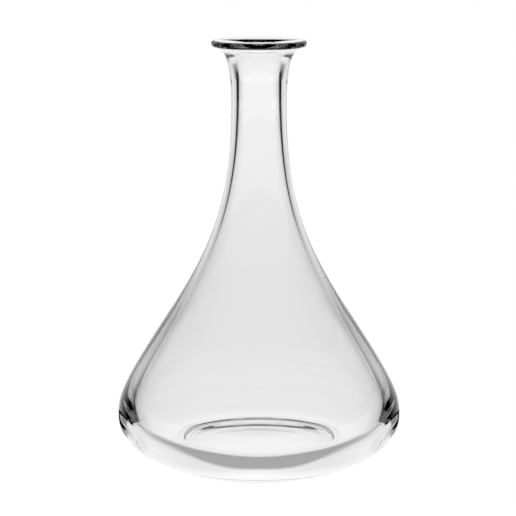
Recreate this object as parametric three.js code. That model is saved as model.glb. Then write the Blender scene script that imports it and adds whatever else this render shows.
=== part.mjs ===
import * as THREE from 'three';

// Wine decanter: one vessel of clear blown glass with a wide low belly, a tall drawn neck
// and a flared pouring lip. Millimetres, +Z up. The origin is the centre of the ring that
// the decanter rests on. Every piece is turned about the Z axis.

// Overall sizes
const HEIGHT = 281.7;
const SIDES = 60; // facets round the axis

// Directions in a section through the axis: radius runs outward and height runs up,
// angles are in degrees from outward towards up
const OUTWARD = 0;
const UP = 90;
const INWARD = 180;
const DOWN = 270;

// A station is a point of the section: [radius, height]
const station = (radius, height) => new THREE.Vector2(radius, height);

// Underside: a shallow hollow inside a flat resting ring
const UNDERSIDE_CENTRE = station(0, 3.2);
const RING_INNER = station(53, 0);
const RING_OUTER = station(58.7, 0);
const UNDERSIDE_FALL = -24; // slope with which the hollow meets the ring

// Outer wall, from the table up
const FOOT_RISE = 20.1; // slope with which the wall leaves the ring
const BELLY = station(94.8, 30.5); // the widest point
const SHOULDER = station(60.4, 100.2); // where the bulging wall turns hollow
const SHOULDER_LEAN = UP + 33;
const WAIST = station(18.2, 239.5); // the narrowest point of the neck
const FLARE = station(22.6, 272.5); // where the neck opens into the lip
const FLARE_LEAN = UP - 32.3;

// Lip: a bead round the edge of the flare
const BEAD_RADIUS = 2.2;
const BEAD_CENTRE = station(29, HEIGHT - BEAD_RADIUS);
const BEAD_UNDERSIDE_SLOPE = 16;
const BEAD_TOP_SLOPE = INWARD + 4.6;

// Inner wall, from the lip down
const THROAT = station(14.9, 267);
const THROAT_LEAN = DOWN - 14.4;
const BORE = station(13.1, 255.6); // the narrowest point of the passage
const INNER_SHOULDER = station(53.9, 99);
const INNER_SHOULDER_LEAN = DOWN + 29.3;
const INNER_BELLY = station(84.6, 34.7);
const FLOOR_EDGE = station(50, 9.7);
const FLOOR_SLOPE = INWARD - 5.5;
const FLOOR_CENTRE = station(0, 8.2);

// Heights at which the hot-joined stages of the blowing meet
const BASE_TOP = BELLY.y;
const BOWL_TOP = 165;
const NECK_TOP = 268;

// A curve that leaves one station in a direction and arrives at the next in another.
// Each reach is how far the curve keeps to its direction. It is cut into equal steps.
function sweep(from, leaving, leavingReach, to, arriving, arrivingReach, steps) {
  const along = (angle, reach) => {
    const radians = THREE.MathUtils.degToRad(angle);
    return station(reach * Math.cos(radians), reach * Math.sin(radians));
  };
  const first = from.clone().add(along(leaving, leavingReach));
  const second = to.clone().sub(along(arriving, arrivingReach));
  return new THREE.CubicBezierCurve(from, first, second, to).getPoints(steps);
}

function beadArc(steps) {
  const quarter = Math.PI / 2;
  const { x, y } = BEAD_CENTRE;
  return new THREE.EllipseCurve(x, y, BEAD_RADIUS, BEAD_RADIUS, -quarter, quarter).getPoints(steps);
}

// Stretches joined end to end, each shared station kept once
function join(...stretches) {
  return stretches.flatMap((points, index) => (index === 0 ? points : points.slice(1)));
}

const BEAD_BOTTOM = station(BEAD_CENTRE.x, BEAD_CENTRE.y - BEAD_RADIUS);
const BEAD_TOP = station(BEAD_CENTRE.x, HEIGHT);

const underside = [
  ...sweep(UNDERSIDE_CENTRE, OUTWARD, 27, RING_INNER, UNDERSIDE_FALL, 8, 7),
  RING_OUTER,
];

const outerWall = join(
  sweep(RING_OUTER, FOOT_RISE, 22.6, BELLY, UP, 14.5, 9),
  sweep(BELLY, UP, 10.9, SHOULDER, SHOULDER_LEAN, 64.6, 9),
  sweep(SHOULDER, SHOULDER_LEAN, 55.7, WAIST, UP, 62.1, 12),
  sweep(WAIST, UP, 6, FLARE, FLARE_LEAN, 8, 5),
  sweep(FLARE, FLARE_LEAN, 3, BEAD_BOTTOM, BEAD_UNDERSIDE_SLOPE, 2.7, 3),
  beadArc(6),
);

const innerWall = join(
  sweep(BEAD_TOP, BEAD_TOP_SLOPE, 5, THROAT, THROAT_LEAN, 8, 5),
  sweep(THROAT, THROAT_LEAN, 5, BORE, DOWN, 2.7, 3),
  sweep(BORE, DOWN, 78.5, INNER_SHOULDER, INNER_SHOULDER_LEAN, 57.3, 12),
  sweep(INNER_SHOULDER, INNER_SHOULDER_LEAN, 51.5, INNER_BELLY, DOWN, 11.5, 8),
  sweep(INNER_BELLY, DOWN, 10.3, FLOOR_EDGE, FLOOR_SLOPE, 17.5, 8),
  sweep(FLOOR_EDGE, FLOOR_SLOPE, 6.1, FLOOR_CENTRE, INWARD, 20, 5),
);

// The stretch of a wall between two heights, with a point exactly at each height it crosses
function between(wall, low, high) {
  const kept = [];
  wall.forEach((point, index) => {
    const previous = wall[index - 1];
    const crossed = previous
      ? [low, high].filter((level) => (previous.y - level) * (point.y - level) < 0)
      : [];
    crossed.forEach((level) => {
      const share = (level - previous.y) / (point.y - previous.y);
      kept.push(station(THREE.MathUtils.lerp(previous.x, point.x, share), level));
    });
    if (point.y >= low && point.y <= high) {
      kept.push(point);
    }
  });
  return kept;
}

const glass = () => new THREE.MeshStandardMaterial({
  color: 0xeef2f4,
  roughness: 0.03,
  metalness: 0,
  transparent: true,
  opacity: 0.35,
});

// A piece turned about Z from a section that runs up its outside
function turned(name, section) {
  const geometry = new THREE.LatheGeometry(section, SIDES);
  geometry.rotateX(Math.PI / 2);
  const mesh = new THREE.Mesh(geometry, glass());
  mesh.name = name;
  return mesh;
}

// A ring of the wall between two heights, closed on itself
function ringOfWall(name, low, high) {
  const section = [...between(outerWall, low, high), ...between(innerWall, low, high)];
  return turned(name, [...section, section[0]]);
}

function base() {
  const outside = between(outerWall, 0, BASE_TOP).slice(1);
  const inside = between(innerWall, 0, BASE_TOP);
  return turned('base', [...underside, ...outside, ...inside]);
}

const decanter = new THREE.Group();
decanter.add(
  base(),
  ringOfWall('bowl', BASE_TOP, BOWL_TOP),
  ringOfWall('neck', BOWL_TOP, NECK_TOP),
  ringOfWall('lip', NECK_TOP, HEIGHT),
);

export default decanter;
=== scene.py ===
"""Wine decanter of clear blown glass, on a plain white table in soft studio light.

The four CAD stages (base, bowl, neck, lip) are one wall of glass on the real vessel, so one
continuous closed mesh stands for all of them. It is turned from the same section, with finer
steps, and keeps the slight unevenness that blowing leaves.
"""

import math
from typing import NamedTuple

import bpy
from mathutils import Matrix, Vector


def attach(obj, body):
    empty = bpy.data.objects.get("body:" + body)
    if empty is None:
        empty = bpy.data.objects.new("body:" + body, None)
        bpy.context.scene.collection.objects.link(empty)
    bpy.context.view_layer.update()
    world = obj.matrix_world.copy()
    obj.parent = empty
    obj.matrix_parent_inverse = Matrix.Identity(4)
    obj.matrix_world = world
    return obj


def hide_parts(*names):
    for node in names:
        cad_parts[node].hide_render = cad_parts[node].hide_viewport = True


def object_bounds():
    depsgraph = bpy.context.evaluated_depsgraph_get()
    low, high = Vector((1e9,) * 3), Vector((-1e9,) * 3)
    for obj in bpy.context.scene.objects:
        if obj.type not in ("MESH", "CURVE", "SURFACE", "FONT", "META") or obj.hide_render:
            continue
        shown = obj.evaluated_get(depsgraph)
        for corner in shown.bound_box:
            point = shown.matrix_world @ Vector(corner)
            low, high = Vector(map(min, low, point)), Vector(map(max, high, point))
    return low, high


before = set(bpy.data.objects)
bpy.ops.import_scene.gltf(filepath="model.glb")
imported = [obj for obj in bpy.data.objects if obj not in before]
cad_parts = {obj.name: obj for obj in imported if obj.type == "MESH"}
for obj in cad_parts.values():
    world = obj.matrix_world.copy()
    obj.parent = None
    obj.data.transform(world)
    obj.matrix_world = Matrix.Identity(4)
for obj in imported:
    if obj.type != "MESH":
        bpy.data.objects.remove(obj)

CAD_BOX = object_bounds()

# ---------------------------------------------------------------------------
# Section of the vessel: places are (radius, height) in CAD millimetres
# ---------------------------------------------------------------------------

HEIGHT = 281.7
UNIT = (CAD_BOX[1].z - CAD_BOX[0].z) / HEIGHT  # metres in one CAD millimetre

# Directions in the section, in degrees from outward towards up
OUTWARD = 0.0
UP = 90.0
INWARD = 180.0
DOWN = 270.0

# Underside: a shallow hollow inside a flat resting ring
UNDERSIDE_CENTRE = (0.0, 3.2)
RING_INNER = (53.0, 0.0)
RING_OUTER = (58.7, 0.0)
UNDERSIDE_FALL = -24.0

# Outer wall
FOOT_RISE = 20.1
BELLY = (94.8, 30.5)
SHOULDER = (60.4, 100.2)
SHOULDER_LEAN = UP + 33.0
WAIST = (18.2, 239.5)
FLARE = (22.6, 272.5)
FLARE_LEAN = UP - 32.3

# Bead round the lip
BEAD_RADIUS = 2.2
BEAD_CENTRE = (29.0, HEIGHT - BEAD_RADIUS)
BEAD_BOTTOM = (BEAD_CENTRE[0], BEAD_CENTRE[1] - BEAD_RADIUS)
BEAD_TOP = (BEAD_CENTRE[0], HEIGHT)
BEAD_UNDERSIDE_SLOPE = 16.0
BEAD_TOP_SLOPE = INWARD + 4.6
BEAD_STEPS = 12

# Inner wall
THROAT = (14.9, 267.0)
THROAT_LEAN = DOWN - 14.4
BORE = (13.1, 255.6)
INNER_SHOULDER = (53.9, 99.0)
INNER_SHOULDER_LEAN = DOWN + 29.3
INNER_BELLY = (84.6, 34.7)
FLOOR_EDGE = (50.0, 9.7)
FLOOR_SLOPE = INWARD - 5.5
FLOOR_CENTRE = (0.0, 8.2)

SIDES = 192  # faces round the axis
STEP = 1.6  # length of a face along the section, millimetres
FINE_STEP = 0.6  # the same at the foot, the lip and the edge of the floor inside
FEWEST_STEPS = 4  # in a stretch between two stations

# Unevenness left by blowing: (waves round the axis, waves up the height, size in mm, phase)
BLOWN_WAVES = (
    (2, 1.3, 0.050, 0.4),
    (3, 2.1, 0.035, 1.9),
    (5, 3.7, 0.018, 4.2),
)


class Station(NamedTuple):
    """A place that a wall passes in a direction. A reach is how far the curve keeps to it."""

    place: tuple
    direction: float
    reach_before: float
    reach_after: float
    step_after: float = STEP


UNDERSIDE = (
    Station(UNDERSIDE_CENTRE, OUTWARD, 0, 27),
    Station(RING_INNER, UNDERSIDE_FALL, 8, 0),
)
RING = (
    Station(RING_INNER, OUTWARD, 0, 1.6, FINE_STEP),
    Station(RING_OUTER, OUTWARD, 1.6, 0),
)
OUTSIDE = (
    Station(RING_OUTER, FOOT_RISE, 0, 22.6, FINE_STEP),
    Station(BELLY, UP, 14.5, 10.9),
    Station(SHOULDER, SHOULDER_LEAN, 64.6, 55.7),
    Station(WAIST, UP, 62.1, 6),
    Station(FLARE, FLARE_LEAN, 8, 3, FINE_STEP),
    Station(BEAD_BOTTOM, BEAD_UNDERSIDE_SLOPE, 2.7, 0),
)
INSIDE = (
    Station(BEAD_TOP, BEAD_TOP_SLOPE, 0, 5, FINE_STEP),
    Station(THROAT, THROAT_LEAN, 8, 5, FINE_STEP),
    Station(BORE, DOWN, 2.7, 78.5),
    Station(INNER_SHOULDER, INNER_SHOULDER_LEAN, 57.3, 51.5),
    Station(INNER_BELLY, DOWN, 11.5, 10.3, FINE_STEP),
    Station(FLOOR_EDGE, FLOOR_SLOPE, 17.5, 6.1),
    Station(FLOOR_CENTRE, INWARD, 20, 0),
)


def toward(angle, reach):
    radians = math.radians(angle)
    return Vector((reach * math.cos(radians), reach * math.sin(radians)))


def sweep(start, end):
    """Points of the curve that leaves one station and arrives at the next."""
    here, there = Vector(start.place), Vector(end.place)
    first = here + toward(start.direction, start.reach_after)
    second = there - toward(end.direction, end.reach_before)
    count = max(FEWEST_STEPS, round((there - here).length / start.step_after))
    points = []
    for index in range(count + 1):
        t = index / count
        s = 1 - t
        points.append(s**3 * here + 3 * s * s * t * first + 3 * s * t * t * second + t**3 * there)
    return points


def join(*stretches):
    """Stretches end to end, each shared point kept once."""
    points = list(stretches[0])
    for stretch in stretches[1:]:
        points += stretch[1:]
    return points


def wall(stations):
    return join(*(sweep(start, end) for start, end in zip(stations, stations[1:])))


def bead_arc():
    """Half a turn from the bottom of the bead, round its outside, to its top."""
    centre = Vector(BEAD_CENTRE)
    turns = (2 * index / BEAD_STEPS - 1 for index in range(BEAD_STEPS + 1))
    return [centre + toward(UP * turn, BEAD_RADIUS) for turn in turns]


def section():
    """From the axis under the base, round the outside and down the inside to the axis again."""
    return join(wall(UNDERSIDE), wall(RING), wall(OUTSIDE), bead_arc(), wall(INSIDE))


def unevenness(azimuth, height):
    """Millimetres that the blown wall stands off the true section: none at the table and lip."""
    share = height / HEIGHT
    fade = math.sin(math.pi * min(1.0, max(0.0, share)))
    return fade * sum(
        size * math.sin(around * azimuth + phase) * math.cos(math.tau * up * share + phase)
        for around, up, size, phase in BLOWN_WAVES
    )


def ring_of_points(radius, height):
    """One point on the axis, or one for each side round it, in metres."""
    if radius == 0:
        return [(0, 0, height * UNIT)]
    points = []
    for side in range(SIDES):
        azimuth = math.tau * side / SIDES
        reach = (radius + unevenness(azimuth, height)) * UNIT
        points.append((reach * math.cos(azimuth), reach * math.sin(azimuth), height * UNIT))
    return points


def band_of_faces(lower, upper):
    """Faces between two rings of vertex numbers: triangles where a ring is one point."""
    faces = []
    for side in range(SIDES):
        following = (side + 1) % SIDES
        corners = (lower[side], lower[following], upper[following], upper[side])
        faces.append(tuple(dict.fromkeys(corners)))
    return faces


def turned(name, points):
    """A closed mesh turned about Z from a section whose first and last points are on the axis."""
    verts = []
    rings = []
    for radius, height in points:
        ring = ring_of_points(radius, height)
        numbers = list(range(len(verts), len(verts) + len(ring)))
        rings.append(numbers if len(ring) == SIDES else numbers * SIDES)
        verts += ring
    faces = []
    for lower, upper in zip(rings, rings[1:]):
        faces += band_of_faces(lower, upper)
    mesh = bpy.data.meshes.new(name)
    mesh.from_pydata(verts, [], faces)
    mesh.shade_smooth()
    return add(name, mesh)


def add(name, data):
    thing = bpy.data.objects.new(name, data)
    bpy.context.scene.collection.objects.link(thing)
    return thing


# ---------------------------------------------------------------------------
# Materials
# ---------------------------------------------------------------------------

WHITE = (1, 1, 1, 1)

GLASS_IOR = 1.5
GLASS_TINT = (0.985, 0.988, 0.992)
GLASS_ABSORPTION = 3.0  # per metre
GLASS_SMOOTHEST = 0.0
GLASS_ROUGHEST = 0.012
GLASS_SMEAR_SCALE = 22.0
GLASS_SMEAR_DETAIL = 3.0
GLASS_SMEARS = (0.45, 0.75)  # noise between which the glass goes from smoothest to roughest

FLOOR_GLOW = 1.0
FLOOR_DIFFUSE = 0.06
FLOOR_ROUGHNESS = 0.3
FLOOR_SPECULAR = 0.0

# Painted shade that the glass shows: two dark patches in the table top, one on each side, a little
# behind the middle. The eye sees the table white there. Metres.
PAINTED_DARK_ACROSS = (0.106, 0.19)
PAINTED_DARK_DEPTH = (0.012, 0.115)

# The bright screen behind, with a dim gap on each side. Metres.
BACKDROP_GLOW = 0.98
BACKDROP_EDGE_GLOW = 0.5
GAP_ACROSS = (0.3, 0.9)
GAP_HEIGHTS = (0.28, 0.6)
GAP_GLOW = 0.25

# How many faces of glass a ray has crossed. The painted dark patches on the table and the gaps act
# only short of both walls.
ENTERED = 0.5  # more than this: it has been inside the glass
WALL_CROSSINGS = 3.5  # more than this: it has come through both walls


def new_material(name):
    material = bpy.data.materials.new(name)
    material.use_nodes = True
    return material, material.node_tree.nodes, material.node_tree.links


def clear_glass():
    """Fire-polished glass: hardly any roughness, in soft smears, and a trace of absorption."""
    material, nodes, links = new_material("clear_glass")
    shader = nodes["Principled BSDF"]
    shader.inputs["Transmission Weight"].default_value = 1
    shader.inputs["IOR"].default_value = GLASS_IOR
    shader.inputs["Base Color"].default_value = WHITE
    place = nodes.new("ShaderNodeTexCoord")
    smears = nodes.new("ShaderNodeTexNoise")
    smears.inputs["Scale"].default_value = GLASS_SMEAR_SCALE
    smears.inputs["Detail"].default_value = GLASS_SMEAR_DETAIL
    roughness = nodes.new("ShaderNodeMapRange")
    roughness.inputs["From Min"].default_value = GLASS_SMEARS[0]
    roughness.inputs["From Max"].default_value = GLASS_SMEARS[1]
    roughness.inputs["To Min"].default_value = GLASS_SMOOTHEST
    roughness.inputs["To Max"].default_value = GLASS_ROUGHEST
    links.new(place.outputs["Object"], smears.inputs["Vector"])
    links.new(smears.outputs["Fac"], roughness.inputs["Value"])
    links.new(roughness.outputs["Result"], shader.inputs["Roughness"])
    absorption = nodes.new("ShaderNodeVolumeAbsorption")
    absorption.inputs["Color"].default_value = (*GLASS_TINT, 1)
    absorption.inputs["Density"].default_value = GLASS_ABSORPTION
    links.new(absorption.outputs["Volume"], nodes["Material Output"].inputs["Volume"])
    return material


class Reckoner:
    """Adds nodes that reckon with numbers to one node tree."""

    def __init__(self, tree):
        self.nodes, self.links = tree.nodes, tree.links

    def feed(self, socket, value):
        if isinstance(value, (int, float)):
            socket.default_value = value
        else:
            self.links.new(value, socket)

    def maths(self, operation, *values):
        node = self.nodes.new("ShaderNodeMath")
        node.operation = operation
        for socket, value in zip(node.inputs, values):
            self.feed(socket, value)
        return node.outputs[0]

    def product(self, first, *others):
        for other in others:
            first = self.maths("MULTIPLY", first, other)
        return first

    def within(self, value, span):
        """1 where value lies between the two ends of the span, and 0 elsewhere."""
        start, end = span
        past_start = self.maths("GREATER_THAN", value, start)
        return self.product(past_start, self.maths("LESS_THAN", value, end))

    def blend(self, value, span, low, high):
        """A number that goes from low to high as value goes through the span."""
        node = self.nodes.new("ShaderNodeMapRange")
        for socket, number in zip(node.inputs, (value, *span, low, high)):
            self.feed(socket, number)
        return node.outputs["Result"]

    def mix(self, share, low, high):
        """low where share is 0 and high where it is 1."""
        node = self.nodes.new("ShaderNodeMix")
        for name, value in (("Factor", share), ("A", low), ("B", high)):
            self.feed(node.inputs[name], value)
        return node.outputs["Result"]

    def split(self, vector):
        node = self.nodes.new("ShaderNodeSeparateXYZ")
        self.links.new(vector, node.inputs[0])
        return node.outputs["X"], node.outputs["Y"], node.outputs["Z"]


def white_top(nodes):
    """The table top as the eye sees it."""
    top = nodes["Principled BSDF"]
    top.inputs["Base Color"].default_value = (FLOOR_DIFFUSE,) * 3 + (1,)
    top.inputs["Roughness"].default_value = FLOOR_ROUGHNESS
    top.inputs["Specular IOR Level"].default_value = FLOOR_SPECULAR
    top.inputs["Emission Color"].default_value = WHITE
    top.inputs["Emission Strength"].default_value = FLOOR_GLOW
    return top


def studio_floor():
    """White to the eye. Light in the glass goes through it, except at two patches of painted shade,
    which are black to it.
    """
    material, nodes, links = new_material("studio_floor")
    top = white_top(nodes)
    reckon = Reckoner(material.node_tree)
    place = nodes.new("ShaderNodeNewGeometry")
    path = nodes.new("ShaderNodeLightPath")
    x, y, _ = reckon.split(place.outputs["Position"])
    across = reckon.maths("ABSOLUTE", x)
    short_of_both = reckon.maths("LESS_THAN", path.outputs["Transmission Depth"], WALL_CROSSINGS)
    # painted shade: black patches in the table top that only light in the glass meets
    on_painted_dark = reckon.product(reckon.within(across, PAINTED_DARK_ACROSS), reckon.within(y, PAINTED_DARK_DEPTH))
    painted_dark = reckon.product(on_painted_dark, short_of_both)
    passed = nodes.new("ShaderNodeBsdfTransparent")
    links.new(reckon.maths("SUBTRACT", 1, painted_dark), passed.inputs["Color"])

    mix = nodes.new("ShaderNodeMixShader")
    links.new(path.outputs["Is Camera Ray"], mix.inputs["Fac"])
    links.new(passed.outputs["BSDF"], mix.inputs[1])
    links.new(top.outputs["BSDF"], mix.inputs[2])
    links.new(mix.outputs["Shader"], nodes["Material Output"].inputs["Surface"])
    return material


def bright_screen():
    """The lit backdrop: even in the middle, falling off to both sides, with a dim gap in each."""
    material, nodes, links = new_material("backdrop")
    nodes.remove(nodes["Principled BSDF"])
    reckon = Reckoner(material.node_tree)
    place = nodes.new("ShaderNodeNewGeometry")
    path = nodes.new("ShaderNodeLightPath")
    x, _, height = reckon.split(place.outputs["Position"])
    across = reckon.maths("ABSOLUTE", x)
    fall = (BACKDROP_EVEN_HALF, BACKDROP_HALF_WIDTH)
    light = reckon.blend(across, fall, BACKDROP_GLOW, BACKDROP_EDGE_GLOW)
    short_of_both = reckon.maths("LESS_THAN", path.outputs["Transmission Depth"], WALL_CROSSINGS)
    in_gap = reckon.product(reckon.within(across, GAP_ACROSS), reckon.within(height, GAP_HEIGHTS))
    share = reckon.mix(reckon.product(in_gap, short_of_both), 1, GAP_GLOW)
    glow = nodes.new("ShaderNodeEmission")
    links.new(reckon.product(light, share), glow.inputs["Strength"])
    links.new(glow.outputs["Emission"], nodes["Material Output"].inputs["Surface"])
    return material


# ---------------------------------------------------------------------------
# Studio
# ---------------------------------------------------------------------------

FLOOR_REACH = 30.0
FLOOR_GAP = 0.0003  # keeps the floor just clear of the flat resting ring
BACKDROP_Y = 1.6
BACKDROP_HALF_WIDTH = 1.6
BACKDROP_EVEN_HALF = 0.4
BACKDROP_BOTTOM = 0.07  # a dark gap over the table's far edge
BACKDROP_TOP = 2.5
KEY_HEIGHT = 1.6
KEY_SIZE = 1.4
KEY_POWER = 12.0


def quad(name, corners, material):
    mesh = bpy.data.meshes.new(name)
    mesh.from_pydata(corners, [], [(0, 1, 2, 3)])
    mesh.materials.append(material)
    thing = add(name, mesh)
    return thing


def floor():
    reach, low = FLOOR_REACH, -FLOOR_GAP
    corners = [(-reach, -reach, low), (reach, -reach, low), (reach, reach, low), (-reach, reach, low)]
    quad("studio_floor", corners, studio_floor())


def backdrop():
    """The bright screen behind the vessel."""
    half, y, low, top = BACKDROP_HALF_WIDTH, BACKDROP_Y, BACKDROP_BOTTOM, BACKDROP_TOP
    corners = [(-half, y, low), (half, y, low), (half, y, top), (-half, y, top)]
    screen = quad("backdrop", corners, bright_screen())
    screen.visible_camera = False
    screen.visible_diffuse = False
    screen.visible_shadow = False


def key_light():
    light = bpy.data.lights.new("overhead_softbox", "AREA")
    light.shape = "SQUARE"
    light.size = KEY_SIZE
    light.energy = KEY_POWER
    lamp = add("overhead_softbox", light)
    lamp.location = (0, 0, KEY_HEIGHT)
    lamp.visible_camera = False
    lamp.visible_glossy = False
    lamp.visible_transmission = False


# ---------------------------------------------------------------------------
# Surroundings: the light that the glass gathers from each direction
#
# A direction is a unit vector: x across, y away from the camera's side, z up. A bearing is the
# cosine of the angle from y round the horizon. Each pair is the two ends of a soft change.
# ---------------------------------------------------------------------------

LEAST_LEVEL = 0.001  # keeps the bearing finite straight up and straight down

# The lit ground, all round below the horizon
AHEAD_GLOW = 0.97
ASIDE_GLOW = 0.68
ASIDE_BEARING = 0.64  # where it has stopped falling
DIP_GLOW = 0.91  # share left in a band below the horizon
DIP_BOTTOM = (-0.50, -0.38)
DIP_TOP = (-0.26, -0.05)

# The ground nearer than the lit ground is dim. The edge between them leans back to both sides:
# it is where y less UNDER_LEAN of x reaches UNDER_EDGE.
UNDER_LEAN = 0.32
UNDER_ROUNDING = 0.008  # so that the edge has no corner in the middle
UNDER_EDGE = (0.22, 0.27)
UNDER_SOFT_FROM = 0.35  # further across than this, the edge softens
UNDER_SOFTNESS = 0.6
UNDER_GLOW = 0.37
UNDER_TOP = (-0.55, -0.45)  # heights between which the dim ground goes black

# Through one wall: near-level light comes only from ahead
SIDE_FALL = (0.68, 0.97)  # bearings between which it goes from none to all
LEVEL_LIGHT = (-0.37, -0.29)  # heights between which that fall sets in

# Through one wall: a panel to the far sides, for light mirrored at most once inside the glass
PANEL_GLOW = 0.8
PANEL_BEARING = (0.25, 0.40)
PANEL_TOP = -0.05
FEW_BOUNCES = 1.5

# Through both walls: steep light falls off from ahead to the sides
CONTOUR_FALL = (0.70, 0.92)
CONTOUR_GLOW = 0.42
CONTOUR_TOP = (-0.60, -0.50)

# Through both walls: the open sides of the room
OPEN_GLOW = 0.93
OPEN_BEARING = (0.45, 0.65)
OPEN_BOTTOM = (-0.62, -0.55)

# Above the horizon
SKY_SEEN = 1.1  # white to the eye
SKY_THROUGH = 0.98
SKY_HIGH = 0.75
SKY_TOP = 0.22  # sine of the highest elevation that glows fully


def ground_glow(reckon, bearing, z):
    """The lit ground: dimmer to the sides and in a band below the horizon."""
    glow = reckon.blend(bearing, (ASIDE_BEARING, 1), ASIDE_GLOW, AHEAD_GLOW)
    sinking = reckon.blend(z, DIP_BOTTOM, 1, DIP_GLOW)
    rising = reckon.blend(z, DIP_TOP, DIP_GLOW, 1)
    return reckon.product(glow, reckon.maths("MAXIMUM", sinking, rising))


def lit_share(reckon, x, y):
    """1 where a direction meets the lit ground, 0 where it meets the dim ground before it."""
    rounded = reckon.maths("SQRT", reckon.maths("MULTIPLY_ADD", x, x, UNDER_ROUNDING))
    lean = reckon.maths("MULTIPLY_ADD", rounded, -UNDER_LEAN, y)
    past = reckon.maths("SUBTRACT", reckon.maths("ABSOLUTE", x), UNDER_SOFT_FROM)
    spread = reckon.maths("MAXIMUM", past, 0)
    start, end = UNDER_EDGE
    soft_start = reckon.maths("MULTIPLY_ADD", spread, -UNDER_SOFTNESS, start)
    soft_end = reckon.maths("MULTIPLY_ADD", spread, UNDER_SOFTNESS, end)
    return reckon.blend(lean, (soft_start, soft_end), 0, 1)


def light_from_below(reckon, x, y, z):
    """How bright it is in a direction, through one wall, through both, and from the panel."""
    level = reckon.maths("SQRT", reckon.maths("SUBTRACT", 1, reckon.product(z, z)))
    bearing = reckon.maths("DIVIDE", y, reckon.maths("MAXIMUM", level, LEAST_LEVEL))
    glow = ground_glow(reckon, bearing, z)
    lit = lit_share(reckon, x, y)
    under = reckon.blend(z, UNDER_TOP, UNDER_GLOW, 0)

    near_level = reckon.blend(z, LEVEL_LIGHT, 0, 1)
    fall = reckon.mix(near_level, 1, reckon.blend(bearing, SIDE_FALL, 0, 1))
    thin = reckon.mix(lit, under, reckon.product(glow, fall))

    steep = reckon.blend(z, CONTOUR_TOP, 1, 0)
    fall = reckon.mix(steep, 1, reckon.blend(bearing, CONTOUR_FALL, CONTOUR_GLOW, 1))
    thick = reckon.mix(lit, under, reckon.product(glow, fall))

    above_dark = reckon.blend(z, OPEN_BOTTOM, 0, 1)
    open_side = reckon.blend(bearing, OPEN_BEARING, OPEN_GLOW, 0)
    thick = reckon.maths("MAXIMUM", thick, reckon.product(open_side, above_dark))
    panel = reckon.product(reckon.blend(bearing, PANEL_BEARING, PANEL_GLOW, 0), above_dark)
    return thin, thick, panel


def light_through_glass(reckon, direction, crossings, mirrorings):
    """What the glass gathers from a direction, by the faces crossed and the mirrorings inside."""
    x, y, z = reckon.split(direction)
    thin, thick, panel = light_from_below(reckon, x, y, z)
    above = reckon.maths("GREATER_THAN", z, 0)
    thin = reckon.mix(above, thin, 0)
    low = reckon.maths("LESS_THAN", z, PANEL_TOP)
    few = reckon.maths("LESS_THAN", mirrorings, FEW_BOUNCES)
    entered = reckon.maths("GREATER_THAN", crossings, ENTERED)
    thin = reckon.maths("MAXIMUM", thin, reckon.product(panel, low, few, entered))
    sky = reckon.mix(reckon.maths("LESS_THAN", z, SKY_TOP), SKY_HIGH, SKY_THROUGH)
    thick = reckon.mix(above, thick, sky)
    return reckon.mix(reckon.maths("GREATER_THAN", crossings, WALL_CROSSINGS), thin, thick)


def surroundings():
    """White to the eye. Through the glass: the table's light below, little but the screen above."""
    world = bpy.data.worlds.new("studio")
    bpy.context.scene.world = world
    world.use_nodes = True
    nodes, links = world.node_tree.nodes, world.node_tree.links
    reckon = Reckoner(world.node_tree)
    direction = nodes.new("ShaderNodeTexCoord").outputs["Generated"]
    path = nodes.new("ShaderNodeLightPath").outputs
    through = light_through_glass(reckon, direction, path["Transmission Depth"], path["Glossy Depth"])
    background = nodes["Background"]
    background.inputs["Color"].default_value = WHITE
    strength = reckon.mix(path["Is Camera Ray"], through, SKY_SEEN)
    links.new(strength, background.inputs["Strength"])


# ---------------------------------------------------------------------------
# Camera
# ---------------------------------------------------------------------------

CAMERA_DISTANCE = 1.1894
CAMERA_ELEVATION = 11.67
CAMERA_AIM = 0.48535  # share of the vessel's height
CAMERA_LENS = 124.64
CAMERA_SENSOR = 36.0
CAMERA_SHIFT = (-0.0019, 0.0010)
CAMERA_SIGHT = 200.0  # how far it sees, metres

# Bounces enough for light to go in and out of both walls
GLASS_BOUNCES = 24
GLOSSY_BOUNCES = 12
DIFFUSE_BOUNCES = 3
BRIGHTEST_INDIRECT = 4.0


def camera():
    data = bpy.data.cameras.new("camera")
    data.sensor_width = CAMERA_SENSOR
    data.lens = CAMERA_LENS
    data.shift_x, data.shift_y = CAMERA_SHIFT
    data.clip_end = CAMERA_SIGHT
    eye = add("camera", data)
    elevation = math.radians(CAMERA_ELEVATION)
    away = Vector((0, -math.cos(elevation), math.sin(elevation)))
    aim = Vector((0, 0, CAMERA_AIM * HEIGHT * UNIT))
    eye.location = aim + CAMERA_DISTANCE * away
    eye.rotation_euler = (math.radians(90 - CAMERA_ELEVATION), 0, 0)
    bpy.context.scene.camera = eye


def light_paths():
    cycles = bpy.context.scene.cycles
    cycles.max_bounces = GLASS_BOUNCES
    cycles.transmission_bounces = GLASS_BOUNCES
    cycles.glossy_bounces = GLOSSY_BOUNCES
    cycles.diffuse_bounces = DIFFUSE_BOUNCES
    cycles.caustics_reflective = True
    cycles.caustics_refractive = True
    cycles.sample_clamp_indirect = BRIGHTEST_INDIRECT
    bpy.context.scene.view_settings.view_transform = "Standard"


camera()
light_paths()
surroundings()
floor()
backdrop()
key_light()

decanter = turned("decanter", section())
decanter.data.materials.append(clear_glass())
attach(decanter, "root")
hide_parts("base", "bowl", "neck", "lip")
